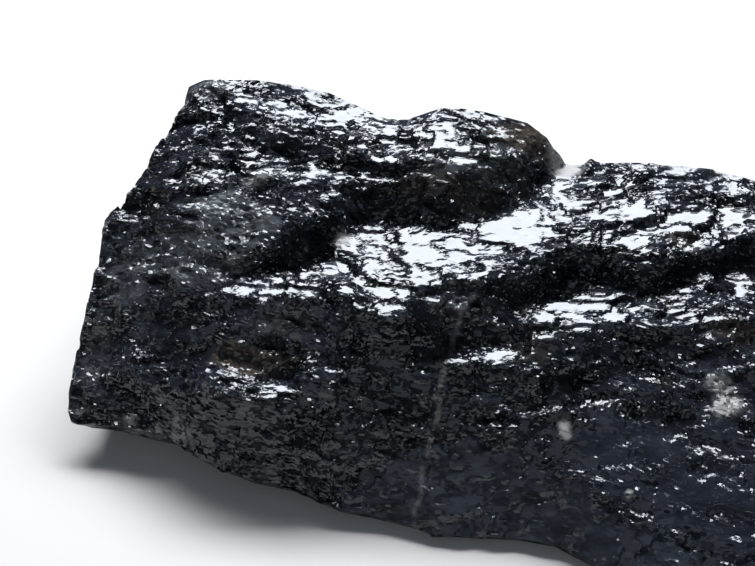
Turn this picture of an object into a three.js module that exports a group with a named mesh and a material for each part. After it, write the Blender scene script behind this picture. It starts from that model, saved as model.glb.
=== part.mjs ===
// A raw piece of morion, the nearly black variety of smoky quartz, lying on its own flat base.
// Millimetres, +Z up. +X runs along the stone, -Y is the broken, stepped face, z = 0 is the base.
//
// The stone is a box lattice whose vertices are moved onto its surface. Seen from above, the lattice
// fills the outline of the stone. Its top follows a height function: a loft through eight ridge lines
// that run along the stone, cut by four ledges, with small flakes broken off. Its underside is flat in
// the middle and rises toward the rim, and its sides join the two.
import * as THREE from "three";

// ---- Driving dimensions, in mm --------------------------------------------------------------

// Ridge lines of the stepped face, front to back: points [x, y, z] with x growing.
const FOOT = [
  [-90, -30, 9.6], [-84, -31.1, 9], [-78, -29.6, 8.7], [-69, -29, 8.3], [-62, -28.2, 8],
  [-53, -31.8, 7], [-43, -33, 6], [-32, -31.8, 5.5], [-22, -33.9, 4.5], [-14, -32.8, 4],
  [-4, -32.9, 3], [0, -33.8, 2.6], [7, -32.1, 2.6], [19, -29.5, 2.6], [27, -29, 2.6],
  [33, -31, 2.6], [47, -37.8, 3], [60, -42, 3.5], [69, -43, 4.5], [80, -37, 7], [90, -28, 9],
];
const SLATE_TOP = [
  [-90, -26, 12], [-70, -26, 13], [-54, -29.2, 15], [-39, -28.8, 14.5], [-24, -29, 12],
  [-17, -23.3, 16.5], [-9, -18.5, 18.5], [-1, -16, 20], [14, -16, 18.5], [24, -19.2, 15.5],
  [31, -22.5, 13.5], [43, -24, 13], [57, -24, 15], [70, -24, 15], [90, -20, 12],
];
const LOWER_RIB = [
  [-90, -20.5, 17], [-70, -21.5, 19], [-58, -25, 22], [-51, -26, 23.4], [-43, -26, 23.6],
  [-35, -23.6, 23.2], [-22, -18, 23.4], [-8, -10.2, 28], [1, -8.3, 29.2], [11, -5.4, 29.5],
  [24, -2, 27], [40, 2, 26.5], [57, 6, 27], [74, 0, 24], [90, -8, 18],
];
const MIDDLE_RIB = [
  [-90, -15, 21.5], [-70, -15, 24.5], [-54, -16, 27], [-38, -13, 28.5], [-24, -11.5, 31],
  [-8, -6.5, 31.5], [4, -2.4, 31.9], [10.6, 0.6, 32.9], [17.7, 3, 33.4], [25, 7.9, 33.8],
  [34, 11.2, 34.1], [46, 16.9, 34.4], [57, 21.1, 34.4], [72, 16, 30.4], [90, 2, 22],
];
const SHOULDER = [
  [-90, -9, 26], [-70, -9.5, 30], [-56, -9.2, 32.7], [-46, -7.6, 35.1], [-34, -4.5, 37],
  [-26, -5.9, 38], [-19, -6.3, 38.2], [-11, -2.5, 38.4], [-2, 4, 39.1], [6, 12.7, 40.3],
  [13, 19.7, 41], [22, 22, 41], [31, 23, 40.6], [44, 29, 40], [56, 33, 39], [70, 30, 34.5],
  [90, 12, 25],
];
const UPPER_RIB = [
  [-90, 13, 37], [-85.6, 13.8, 37.5], [-80.5, 14.9, 40], [-70, 14.8, 43], [-56, 15.9, 44.8],
  [-45, 17.5, 45.4], [-39.5, 23, 46.6], [-33.3, 28.5, 48], [-26, 31, 49.2], [-17, 33.5, 50.4],
  [-4, 36.5, 50.2], [6, 38, 46.4], [20, 36, 42.2], [40, 40, 41.8], [60, 41, 39.5],
  [74, 35, 34], [90, 22, 25.2],
];
const CROWN = [
  [-90, 31, 44.5], [-81, 31, 45], [-75, 36, 48], [-63, 37, 50], [-50, 36.5, 50.3],
  [-39, 33.4, 49.5], [-27, 33, 49.7], [-17, 36, 51], [-8, 38, 51], [0, 40, 50.2], [8, 42, 46],
  [20, 43, 42.7], [40, 47, 42.3], [60, 45, 40], [74, 38, 34], [90, 28, 25.5],
];
const RIM = [
  [-84, 45, 46], [-78, 45.6, 50], [-64, 46.5, 52], [-47, 46.3, 52], [-40, 45, 51],
  [-32, 43.4, 50], [-27, 44.2, 50.3], [-20, 47.4, 53], [-11, 48.4, 53], [0, 48.5, 51.5],
  [7, 46.5, 49], [12, 47.6, 45.5], [18, 49, 43.6], [27, 51.5, 43.2], [36, 53, 43.6],
  [44, 54, 43.2], [53, 54, 42], [66, 50, 37], [80, 41, 31], [90, 34, 26],
];
const RIDGES = [FOOT, SLATE_TOP, LOWER_RIB, MIDDLE_RIB, SHOULDER, UPPER_RIB, CROWN, RIM];

// Ledges: the foot of each riser as points [x, y, z], and in mm per mm the rise of the tread toward
// the back and of the riser behind it, which bends to a gentler upper slope at bend mm.
const LEDGES = [
  {
    // the broad bright tread that climbs from the left middle to the back
    foot: [
      [-60, -8.8, 33.2], [-52, -3.4, 34.4], [-44, 4.3, 36.1], [-36, 11.8, 37.8], [-31, 18.2, 38.8],
      [-24, 21.9, 39.8], [-13.5, 21.7, 40], [-5.5, 26.3, 40.7], [0.8, 31, 41.2], [5.4, 39.9, 42],
      [9, 45.4, 42.5], [14, 53.5, 43.1],
    ],
    tread: 0.06,
    riser: 1.4,
    bend: 3.4,
    upper: 0.75,
  },
  {
    // the second tread, right of the middle
    foot: [
      [7, 6, 32.8], [9.8, 10.1, 33.4], [17.3, 16.9, 34.2], [28.2, 17.7, 34.4], [36.6, 20.4, 34.7],
      [44.4, 27, 35], [55.7, 34.6, 35.5], [75, 40, 34],
    ],
    tread: 0.06,
    riser: 1.5,
  },
  {
    // a short wedge below the second tread
    foot: [[-7, -6, 28.8], [-0.5, -3.1, 29.3], [10, -0.2, 29.7], [16, -1.3, 29.7]],
    tread: 0.02,
    riser: 1.1,
  },
  {
    // a small patch low on the left
    foot: [[-56, -21.5, 23.8], [-48, -19, 24.4], [-37, -18.5, 24.6], [-33, -19.5, 24.2]],
    tread: 0.06,
    riser: 1.1,
  },
];

// Patches of the break, by their outlines seen from above, as points [x, y]: the share of the
// flakes in them that lies level, and whether the whole patch is one level facet.
const PATCHES = [
  {
    // the broad bright tread
    share: 0.97,
    outline: [
      [-56, -8], [-48, -1], [-40, 3], [-37, 8], [-35, 13], [-28, 20], [-18, 21], [-6, 27], [0, 32],
      [0, 35], [4, 41], [8, 46], [18, 48], [20, 37], [16, 32], [13, 24], [6, 14], [-1, 6],
      [-10, 0], [-20, -6], [-28, -3], [-45, -5],
    ],
  },
  {
    // the back right
    share: 0.75,
    outline: [
      [18, 50], [31, 54], [44, 54], [56, 53], [66, 46], [60, 36], [43, 28], [33, 23], [22, 21],
      [13, 25], [18, 33],
    ],
  },
  {
    // a dark dent in it
    share: 0.05,
    outline: [[33, 46], [44, 50], [42, 42], [36, 41]],
  },
  {
    // the rim on the left
    share: 0.85,
    outline: [
      [-80, 40], [-78, 44], [-54, 47], [-41, 46], [-30, 45], [-18, 49], [-11, 49], [-12, 42],
      [-14, 36], [-26, 33], [-37, 31], [-51, 36], [-61, 37], [-71, 34],
    ],
  },
  {
    // the stripes below it
    share: 0.5,
    outline: [
      [-72, 22], [-64, 28], [-59, 34], [-39, 34], [-26, 33], [-4, 39], [3, 38], [-2, 33],
      [-11, 27], [-24, 24.5], [-30, 25], [-46, 22], [-57, 18], [-66, 20],
    ],
  },
  {
    // facets on the left
    share: 0.65,
    outline: [[-80, 17], [-74, 20], [-65, 19], [-55, 18], [-54, 14], [-67, 11], [-77, 14]],
  },
  {
    // the second tread
    share: 0.95,
    outline: [
      [10, 2], [12, 12], [17, 17], [24, 18], [30, 17], [37, 20], [45, 22], [47, 17], [37, 11.5],
      [28, 8], [20, 3.5], [13, 0],
    ],
  },
  { share: 1, flat: true, outline: [[-3, -3.3], [11, -0.3], [8, -6.8], [1, -7.3]] },
  { share: 0.3, outline: [[-5, -5], [1, -5], [8, -9], [4, -12], [-2, -10]] },
  {
    // low on the left
    share: 0.7,
    outline: [[-54, -21.5], [-46, -18.5], [-38, -18.5], [-34, -22], [-38, -26], [-46, -26]],
  },
  { share: 0.3, outline: [[-61, -28], [-59, -31], [-49, -29], [-43, -25], [-52, -26]] },
  { share: 1, flat: true, outline: [[-49, -15], [-44, -13], [-39, -14], [-42, -16]] },
  { share: 1, flat: true, outline: [[-41, -8], [-35, -8.6], [-36, -10.6], [-40, -9.8]] },
  {
    share: 1,
    flat: true,
    outline: [[-35, -16], [-29, -15], [-24, -12.5], [-24, -15], [-27, -17], [-33, -17.5]],
  },
  { share: 0.3, outline: [[-40, -29], [-32, -27], [-22, -27], [-22, -31], [-29, -32], [-37, -31]] },
  {
    // on the right
    share: 0.4,
    outline: [[23, 21], [35, 24], [56, 35], [64, 36], [60, 22], [45, 21], [32, 20]],
  },
  { share: 0.35, outline: [[26, 5], [36, 11], [58, 20], [62, 16], [47, 11], [35, 6]] },
  { share: 1, flat: true, outline: [[10, -13], [17, -9.5], [23, -9], [16, -12]] },
  { share: 1, flat: true, outline: [[27, -6], [34, -2], [34, -4], [29, -7]] },
];
const FLAT_PATCH = { drop: 1.6, raise: 1.2 }; // how far a flat patch may lie from the face

// Level flakes lie on a shallow dish: the middle of it, and its curvature in 1 per mm.
const DISH = { middle: [-12, -10], curve: [0.0024, 0.0019] };

// The ends of the outline: points [y, x] with y growing.
const LEFT_END = [
  [-31.1, -84.2], [-28, -86.6], [-21, -87], [-13.5, -86.5], [-2, -87.5], [8, -89.5],
  [14, -86], [24, -83], [36, -81], [45, -82],
];
const RIGHT_END = [[-37, 80], [-26, 86], [-13, 89], [5, 86.5], [22, 90], [34, 86], [41, 80]];

// Underside: planes that rise outward from the flat base. Each has a point on the edge of the
// base, the direction it rises in and its rise in mm per mm.
const UNDERCUTS = [
  { point: [-38.5, -15], toward: [-0.54, -0.84], rise: 0.19 },
  { point: [30, -29], toward: [0.25, -0.97], rise: 0.28 },
  { point: [72, 0], toward: [0.99, -0.1], rise: 0.35 },
  { point: [0, 30], toward: [-0.05, 1], rise: 0.2 },
];
const UNDERSIDE_INSET = 0.045; // how much smaller the underside is than the outline
const SIDE_BULGE = 0.018; // how far tall sides stand out at half height

// Broad swells and broken flakes of the stepped face.
const SWELL = { height: 1.1, alongX: 26, alongY: 13 };
const FLAKE = {
  length: 14, width: 7.5, drop: 1.3, raise: 0.9, calmTilt: 0.04, roughTilt: 0.14, levelShare: 0.08,
};
const RIM_FADE = { width: 6, least: 0.15 }; // near the rim the flakes are shallower
const FLOW_DEGREES = 16; // the flakes run along this direction, seen from above
const SIDE_FLAKE = { length: 17, height: 12, depth: 1.3, tilt: 0.12 };
const SIDE_SWELL = { depth: 1.8, wave: 34 };

// Shell-shaped hollows broken out of the sides, each with its centre [x, y, z], radius and depth.
const HOLLOWS = [
  { centre: [-46, 46, 24], radius: 27, depth: 4.2 },
  { centre: [22, 49, 14], radius: 24, depth: 3.4 },
  { centre: [88, 4, 14], radius: 21, depth: 3.6 },
  { centre: [-86, 22, 20], radius: 22, depth: 2.8 },
];

// Lattice cells along the stone, across it and up its sides.
const CELLS = { x: 56, y: 33, z: 7 };

// ---- Helpers --------------------------------------------------------------------------------

const lerp = THREE.MathUtils.lerp;
const clamp = THREE.MathUtils.clamp;
const smooth = (t) => t * t * (3 - 2 * t);

/** Linear interpolation in a list of points by their first coordinate; k picks the value. */
function along(points, at, k = 1) {
  const last = points.length - 1;
  if (at <= points[0][0]) return points[0][k];
  for (let i = 0; i < last; i++)
    if (at <= points[i + 1][0])
      return lerp(points[i][k], points[i + 1][k],
        (at - points[i][0]) / (points[i + 1][0] - points[i][0]));
  return points[last][k];
}

/** A repeatable number in 0..1 for a lattice cell. */
function hash(i, j, seed) {
  const v = Math.sin(i * 127.1 + j * 311.7 + seed * 74.7) * 43758.5453;
  return v - Math.floor(v);
}

/** Value noise in -1..1. */
function noise(x, y, seed) {
  const i = Math.floor(x), j = Math.floor(y);
  const u = smooth(x - i), v = smooth(y - j);
  const low = lerp(hash(i, j, seed), hash(i + 1, j, seed), u);
  const high = lerp(hash(i, j + 1, seed), hash(i + 1, j + 1, seed), u);
  return lerp(low, high, v) * 2 - 1;
}

/** Two octaves of value noise, in -1..1. */
const swell = (x, y, seed) =>
  (noise(x, y, seed) + 0.5 * noise(2 * x + 7.3, 2 * y - 3.1, seed + 1)) / 1.5;

/** The jittered cell whose centre is nearest to (a, b): its indices and its centre. */
function nearestCell(a, b, seed) {
  let best = null, least = Infinity;
  for (let di = -1; di <= 1; di++)
    for (let dj = -1; dj <= 1; dj++) {
      const i = Math.floor(a) + di, j = Math.floor(b) + dj;
      const p = i + 0.15 + 0.7 * hash(i, j, seed);
      const q = j + 0.15 + 0.7 * hash(i, j, seed + 1);
      const d = (a - p) ** 2 + (b - q) ** 2;
      if (d < least) {
        least = d;
        best = { i, j, p, q };
      }
    }
  return best;
}

// ---- Height of the top ----------------------------------------------------------------------

/** Height of the loft through the ridge lines and the swells, with the ledges cut into it. */
function formHeight(x, y) {
  let lineY = along(FOOT, x), lineZ = along(FOOT, x, 2), z = lineZ;
  for (const ridge of RIDGES.slice(1)) {
    const nextY = along(ridge, x), nextZ = along(ridge, x, 2);
    if (y > lineY) z = lerp(lineZ, nextZ, clamp((y - lineY) / Math.max(nextY - lineY, 0.3), 0, 1));
    [lineY, lineZ] = [nextY, nextZ];
  }
  z += SWELL.height * swell(x / SWELL.alongX, y / SWELL.alongY, 3);
  for (const { foot, tread, riser, bend = 99, upper = 0 } of LEDGES) {
    const footY = along(foot, x), footZ = along(foot, x, 2);
    const beyondEnds = Math.max(foot[0][0] - x, x - foot[foot.length - 1][0], 0);
    const behind = Math.max(y - footY, 0) + beyondEnds;
    const rise = riser * Math.min(behind, bend) + upper * Math.max(behind - bend, 0);
    z = Math.min(z, footZ - tread * Math.max(footY - y, 0) + rise);
  }
  return z;
}

/** Distance into a closed outline seen from above, below 0 outside it. */
function inside(x, y, outline) {
  let least = Infinity, within = false;
  outline.forEach(([ax, ay], n) => {
    const [bx, by] = outline[(n + 1) % outline.length];
    const dx = bx - ax, dy = by - ay;
    const t = clamp(((x - ax) * dx + (y - ay) * dy) / (dx * dx + dy * dy), 0, 1);
    least = Math.min(least, Math.hypot(x - ax - t * dx, y - ay - t * dy));
    if (ay > y !== by > y && x < (dx * (y - ay)) / dy + ax) within = !within;
  });
  return within ? least : -least;
}

/** Share of the flakes at (x, y) that lies level; the patches' edges are a little ragged. */
function sheen(x, y) {
  const raggedX = x + 1.6 * swell(x / 6, y / 6, 11), raggedY = y + 1.2 * swell(x / 6, y / 6, 12);
  let share = 0.05;
  for (const patch of PATCHES)
    share = lerp(share, patch.share, clamp(inside(raggedX, raggedY, patch.outline) + 0.5, 0, 1));
  return share;
}

/** Slopes of the dish that the level flakes lie on. */
const levelSlopes = (x, y) =>
  [DISH.curve[0] * (x - DISH.middle[0]), DISH.curve[1] * (y - DISH.middle[1])];

/** Share of the flat patches at (x, y). */
function flatShare(x, y) {
  const flats = PATCHES.filter((patch) => patch.flat);
  return Math.max(0, ...flats.map((patch) => clamp(inside(x, y, patch.outline) + 0.6, 0, 1)));
}

/** Height of the form with its flat patches: level planes that stay near the form. */
function plateHeight(x, y) {
  let z = formHeight(x, y);
  for (const { outline, flat } of PATCHES) {
    if (!flat) continue;
    const middle = [0, 1].map((k) => outline.reduce((sum, p) => sum + p[k], 0) / outline.length);
    const [slopeX, slopeY] = levelSlopes(...middle);
    const plane = formHeight(...middle) + slopeX * (x - middle[0]) + slopeY * (y - middle[1]);
    const share = clamp(inside(x, y, outline) * 2 + 0.5, 0, 1);
    z += share * clamp(plane - z, -FLAT_PATCH.drop, FLAT_PATCH.raise);
  }
  return z;
}

/** Height of the top with flakes broken off: every cell is a flat facet, some of them level. */
function topHeight(x, y) {
  const turn = THREE.MathUtils.degToRad(FLOW_DEGREES);
  const c = Math.cos(turn), s = Math.sin(turn);
  const bentX = x + 2.6 * swell(x / 17, y / 17, 31);
  const bentY = y + 2.6 * swell(x / 17 + 9, y / 17, 32);
  const a = (bentX * c + bentY * s) / FLAKE.length;
  const b = (bentY * c - bentX * s) / FLAKE.width;
  const { i, j, p, q } = nearestCell(a, b, 40);
  const du = (a - p) * FLAKE.length, dv = (b - q) * FLAKE.width;
  const dx = du * c - dv * s, dy = du * s + dv * c;
  const cx = x - dx, cy = y - dy, e = 0.8;
  const slopeX = (plateHeight(cx + e, cy) - plateHeight(cx - e, cy)) / (2 * e);
  const slopeY = (plateHeight(cx, cy + e) - plateHeight(cx, cy - e)) / (2 * e);
  const share = sheen(cx, cy);
  const [levelX, levelY] = levelSlopes(cx, cy);
  const level = clamp((Math.max(share, FLAKE.levelShare) - hash(i, j, 42)) * 12 + 0.5, 0, 1);
  const off = Math.hypot(slopeX - levelX, slopeY - levelY);
  const calm = clamp(Math.max(level, 1.3 - off / 0.12) * clamp(share * 3, 0, 1), 0, 1);
  const tilt = lerp(FLAKE.roughTilt, FLAKE.calmTilt, calm);
  const lieX = lerp(slopeX, levelX, level) + (hash(i, j, 43) * 2 - 1) * tilt;
  const lieY = lerp(slopeY, levelY, level) + (hash(i, j, 44) * 2 - 1) * tilt;
  const here = plateHeight(x, y);
  const facet = plateHeight(cx, cy) + lieX * dx + lieY * dy;
  const edge = clamp((along(RIM, x) - y) / RIM_FADE.width, RIM_FADE.least, 1);
  return here + edge * (1 - flatShare(x, y)) * clamp(facet - here, -FLAKE.drop, FLAKE.raise);
}

/** Height of the underside: 0 on the flat base, rising toward the rim. */
function underHeight(x, y) {
  return Math.max(0, ...UNDERCUTS.map(({ point, toward, rise }) =>
    rise * ((x - point[0]) * toward[0] + (y - point[1]) * toward[1])));
}

// ---- The lattice ----------------------------------------------------------------------------

/** A place inside the outline seen from above: u runs along the stone, v from front to back. */
function planPoint(u, v) {
  const front = lerp(LEFT_END[0][1], RIGHT_END[0][1], u);
  const back = lerp(LEFT_END.at(-1)[1], RIGHT_END.at(-1)[1], u);
  const leftY = lerp(LEFT_END[0][0], LEFT_END.at(-1)[0], v);
  const rightY = lerp(RIGHT_END[0][0], RIGHT_END.at(-1)[0], v);
  const straightX = lerp(front, back, v), straightY = lerp(leftY, rightY, u);
  const endLeft = along(LEFT_END, leftY) - lerp(LEFT_END[0][1], LEFT_END.at(-1)[1], v);
  const endRight = along(RIGHT_END, rightY) - lerp(RIGHT_END[0][1], RIGHT_END.at(-1)[1], v);
  const frontY = along(FOOT, front) - lerp(LEFT_END[0][0], RIGHT_END[0][0], u);
  const backY = along(RIM, back) - lerp(LEFT_END.at(-1)[0], RIGHT_END.at(-1)[0], u);
  return [straightX + lerp(endLeft, endRight, u), straightY + lerp(frontY, backY, v)];
}

/** Heights along y where the top has an edge, in the column at x. */
function edgesAt(x) {
  const edges = RIDGES.slice(1, -1).map((ridge) => along(ridge, x));
  for (const { foot } of LEDGES)
    if (x > foot[0][0] && x < foot[foot.length - 1][0]) {
      const y = along(foot, x);
      edges.push(y);
      let top = y; // the top of the riser, where the cut meets the uncut face
      while (top < y + 14 && formHeight(x, top + 0.5) - formHeight(x, top) > 0.35) top += 0.5;
      edges.push(top);
    }
  return edges;
}

/** The v of every row in each column, with the rows nearest to an edge moved onto it. */
function rowsOf(i) {
  const u = i / CELLS.x;
  const rows = Array.from({ length: CELLS.y + 1 }, (_, j) => j / CELLS.y);
  const ys = rows.map((v) => planPoint(u, v)[1]);
  const taken = new Set([0, CELLS.y]);
  if (i > 0 && i < CELLS.x)
    for (const edge of edgesAt(planPoint(u, 0.5)[0])) {
      let near = 0;
      ys.forEach((y, j) => {
        if (Math.abs(y - edge) < Math.abs(ys[near] - edge)) near = j;
      });
      if (taken.has(near)) continue;
      taken.add(near);
      const spacing = (ys[CELLS.y] - ys[0]) / CELLS.y;
      rows[near] += clamp((edge - ys[near]) / spacing, -0.5, 0.5) / CELLS.y;
    }
  return rows;
}

/** The point of the surface at lattice place (u, v, w), with w rising from underside to top. */
function surfacePoint(u, v, w) {
  const [planX, planY] = planPoint(u, v);
  const tall = (topHeight(planX, planY) - underHeight(planX, planY)) / 45;
  const side = w > 0 && w < 1;
  const swellOut = side ? SIDE_BULGE * Math.sin(Math.PI * w) * tall : 0;
  const shrink = 1 - UNDERSIDE_INSET * (1 - w) + swellOut;
  const x = planX * shrink, y = planY * shrink;
  const high = topHeight(planX, planY), low = underHeight(x, y);
  const point = new THREE.Vector3(x, y, lerp(low, high, w));
  if (side) {
    // a flake on the side has its own depth and tilt; it fades out toward the top and bottom edges
    const round = Math.atan2(planY * 1.9, planX) * 70;
    const a = round / SIDE_FLAKE.length, b = point.z / SIDE_FLAKE.height;
    const cell = nearestCell(a, b, 70);
    const depth = (hash(cell.i, cell.j, 71) * 2 - 1) * SIDE_FLAKE.depth
      + (hash(cell.i, cell.j, 72) * 2 - 1) * SIDE_FLAKE.tilt * (a - cell.p) * SIDE_FLAKE.length
      + (hash(cell.i, cell.j, 73) * 2 - 1) * SIDE_FLAKE.tilt * (b - cell.q) * SIDE_FLAKE.height;
    const broad = SIDE_SWELL.depth * swell(round / SIDE_SWELL.wave, point.z / SIDE_SWELL.wave, 75);
    const hollow = HOLLOWS.reduce((sum, { centre, radius, depth: deep }) => {
      const near = point.distanceTo(new THREE.Vector3(...centre)) / radius;
      return sum + deep * Math.max(1 - near * near, 0);
    }, 0);
    const out = new THREE.Vector3(planX / 2.2, planY, 0).normalize();
    const fade = Math.min(tall, 1) * Math.min(1, 3 * Math.sin(Math.PI * w));
    point.addScaledVector(out, (depth + broad - hollow) * fade);
  }
  return point;
}

/** The closed surface of the stone as a three.js geometry. */
function stoneGeometry() {
  const rows = Array.from({ length: CELLS.x + 1 }, (_, i) => rowsOf(i));
  const numbers = new Map();
  const positions = [];
  const vertex = (i, j, k) => {
    const key = `${i},${j},${k}`;
    if (!numbers.has(key)) {
      numbers.set(key, positions.length / 3);
      const top = k === CELLS.z;
      const v = top ? rows[i][j] : j / CELLS.y;
      positions.push(...surfacePoint(i / CELLS.x, v, k / CELLS.z));
    }
    return numbers.get(key);
  };
  const point = (n) => new THREE.Vector3().fromArray(positions, 3 * n);
  const triangles = [];
  // corners counted counter-clockwise seen from outside; each quad is split by its shorter diagonal
  const quad = (a, b, c, d) => {
    if (point(a).distanceTo(point(c)) <= point(b).distanceTo(point(d)))
      triangles.push(a, b, c, a, c, d);
    else triangles.push(a, b, d, b, c, d);
  };
  const { x: nx, y: ny, z: nz } = CELLS;
  for (let i = 0; i < nx; i++)
    for (let j = 0; j < ny; j++) {
      quad(vertex(i, j, nz), vertex(i + 1, j, nz), vertex(i + 1, j + 1, nz), vertex(i, j + 1, nz));
      quad(vertex(i, j, 0), vertex(i, j + 1, 0), vertex(i + 1, j + 1, 0), vertex(i + 1, j, 0));
    }
  for (let k = 0; k < nz; k++) {
    for (let i = 0; i < nx; i++) {
      quad(vertex(i, 0, k), vertex(i + 1, 0, k), vertex(i + 1, 0, k + 1), vertex(i, 0, k + 1));
      quad(vertex(i, ny, k), vertex(i, ny, k + 1), vertex(i + 1, ny, k + 1), vertex(i + 1, ny, k));
    }
    for (let j = 0; j < ny; j++) {
      quad(vertex(0, j, k), vertex(0, j, k + 1), vertex(0, j + 1, k + 1), vertex(0, j + 1, k));
      quad(vertex(nx, j, k), vertex(nx, j + 1, k), vertex(nx, j + 1, k + 1), vertex(nx, j, k + 1));
    }
  }
  const geometry = new THREE.BufferGeometry();
  geometry.setAttribute("position", new THREE.Float32BufferAttribute(positions, 3));
  geometry.setIndex(triangles);
  geometry.computeBoundingBox();
  const centre = geometry.boundingBox.getCenter(new THREE.Vector3());
  geometry.translate(-centre.x, -centre.y, -geometry.boundingBox.min.z);
  geometry.computeVertexNormals();
  return geometry;
}

// ---- The part -------------------------------------------------------------------------------

const morion = new THREE.MeshStandardMaterial({ color: 0x1d2129, roughness: 0.22, metalness: 0 });
const stone = new THREE.Mesh(stoneGeometry(), morion);
stone.name = "quartz_piece";

const part = new THREE.Group();
part.name = "raw_morion_quartz";
part.add(stone);

export default part;
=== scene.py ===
"""A raw piece of morion, the nearly black smoky quartz, on a pale sheet under soft studio light.

The stone is one closed surface: a box lattice whose vertices are moved onto the broken form that
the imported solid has, with the small flakes that the solid leaves out. Sizes are millimetres in the
form's own frame, and the finished mesh is in metres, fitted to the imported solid's box.
"""

from __future__ import annotations

import logging
import math
from dataclasses import dataclass, field
from enum import Enum
from functools import cached_property
from typing import Any, Callable

import bpy
import numpy as np
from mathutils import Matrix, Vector


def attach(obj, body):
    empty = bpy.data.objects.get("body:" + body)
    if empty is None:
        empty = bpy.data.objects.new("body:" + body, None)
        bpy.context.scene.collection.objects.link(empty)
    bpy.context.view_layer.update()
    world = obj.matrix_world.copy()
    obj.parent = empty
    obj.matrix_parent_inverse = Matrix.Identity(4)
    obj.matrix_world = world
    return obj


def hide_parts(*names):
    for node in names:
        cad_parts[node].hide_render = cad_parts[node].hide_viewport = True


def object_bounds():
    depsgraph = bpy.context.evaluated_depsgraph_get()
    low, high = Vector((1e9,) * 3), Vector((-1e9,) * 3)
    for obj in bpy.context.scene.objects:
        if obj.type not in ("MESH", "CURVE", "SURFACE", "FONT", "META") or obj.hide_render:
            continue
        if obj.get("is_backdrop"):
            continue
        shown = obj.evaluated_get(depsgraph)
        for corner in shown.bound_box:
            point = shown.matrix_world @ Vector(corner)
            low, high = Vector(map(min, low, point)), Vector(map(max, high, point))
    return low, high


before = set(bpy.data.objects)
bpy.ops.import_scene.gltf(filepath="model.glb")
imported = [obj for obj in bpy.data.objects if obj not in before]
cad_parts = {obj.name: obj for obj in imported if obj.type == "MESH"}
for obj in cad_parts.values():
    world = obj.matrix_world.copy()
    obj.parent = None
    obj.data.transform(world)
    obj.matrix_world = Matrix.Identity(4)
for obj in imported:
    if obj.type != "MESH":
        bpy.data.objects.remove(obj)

LOG = logging.getLogger("morion")
MM = 0.001
NODE = "quartz_piece"

Array = np.ndarray
Height = Callable[[Array, Array], Array]
Line = tuple[tuple[float, ...], ...]
Outline = tuple[tuple[float, float], ...]
Tree = bpy.types.NodeTree
Socket = bpy.types.NodeSocket


def linear(hex_colour: str) -> tuple[float, float, float, float]:
    """Turns an sRGB hex colour into linear RGBA.

    Args:
        hex_colour: Six hex digits.

    Returns:
        Linear red, green and blue, and an alpha of 1.
    """
    parts = [int(hex_colour[i : i + 2], 16) / 255 for i in (0, 2, 4)]
    r, g, b = (c / 12.92 if c <= 0.04045 else ((c + 0.055) / 1.055) ** 2.4 for c in parts)
    return r, g, b, 1.0


def hashed(i: Array, j: Array, seed: float) -> Array:
    """A repeatable number in 0..1 per cell: the fraction of a large multiple of a sine."""
    value = np.sin(i * 127.1 + j * 311.7 + seed * 74.7) * 43758.5453
    return value - np.floor(value)


def smooth(t: Array) -> Array:
    """The cubic 3t^2 - 2t^3."""
    return t * t * (3 - 2 * t)


def noise(x: Array, y: Array, seed: float) -> Array:
    """Value noise in -1..1: cell corner values blended with the smooth cubic."""
    i, j = np.floor(x), np.floor(y)
    u, v = smooth(x - i), smooth(y - j)
    low = hashed(i, j, seed) * (1 - u) + hashed(i + 1, j, seed) * u
    high = hashed(i, j + 1, seed) * (1 - u) + hashed(i + 1, j + 1, seed) * u
    return (low * (1 - v) + high * v) * 2 - 1


def swell(x: Array, y: Array, seed: float) -> Array:
    """Two octaves of value noise, in -1..1."""
    return (noise(x, y, seed) + 0.5 * noise(2 * x + 7.3, 2 * y - 3.1, seed + 1)) / 1.5


def nearest_cell(a: Array, b: Array, seed: float) -> tuple[Array, Array, Array, Array]:
    """Finds the jittered cell whose centre is nearest to each point.

    Args:
        a: First coordinate, in cells.
        b: Second coordinate, in cells.
        seed: Picks the pattern.

    Returns:
        The cell's two indices and its centre's two coordinates.
    """
    least = np.full(a.shape, np.inf)
    best = [np.zeros(a.shape) for _ in range(4)]
    for di in (-1, 0, 1):
        for dj in (-1, 0, 1):
            i, j = np.floor(a) + di, np.floor(b) + dj
            p = i + 0.15 + 0.7 * hashed(i, j, seed)
            q = j + 0.15 + 0.7 * hashed(i, j, seed + 1)
            d = (a - p) ** 2 + (b - q) ** 2
            nearer = d < least
            least = np.where(nearer, d, least)
            best = [np.where(nearer, new, old) for new, old in zip((i, j, p, q), best)]
    return best[0], best[1], best[2], best[3]


def along(points: Line, at: Array, k: int = 1) -> Array:
    """Linear interpolation in a list of points by their first number.

    Args:
        points: Points whose first number grows.
        at: Where to read.
        k: Which number of the points to read.

    Returns:
        The interpolated numbers.
    """
    table = np.array(points)
    return np.interp(at, table[:, 0], table[:, k])


@dataclass(frozen=True)
class Ledge:
    """A ledge cut into the stepped face.

    The tread rises gently toward the back and the riser steeply behind its foot, until it bends
    back to a gentler slope at a distance behind the foot.
    """

    foot: Line
    tread: float
    riser: float
    bend: float = 99.0
    upper: float = 0.0


@dataclass(frozen=True)
class Undercut:
    """A plane of the underside that rises outward from the flat base."""

    point: tuple[float, float]
    toward: tuple[float, float]
    rise: float


@dataclass(frozen=True)
class Flake:
    """One size of broken flake: cell sizes and limits in mm, slopes in mm per mm.

    The tilt and step have one value for level patches and one for the rest. A flake that keeps
    flats leaves that share of the flat patches whole.
    """

    length: float
    width: float
    drop: float
    lift: float
    tilt: tuple[float, float]
    step: tuple[float, float]
    glint: float
    seed: float
    keeps_flats: float = 0.0


@dataclass(frozen=True)
class Patch:
    """A patch of the break, by its outline seen from above.

    A share of its flakes lies level, and a flat patch is one level facet of its own.
    """

    outline: Outline
    share: float
    flat: bool = False


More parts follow.
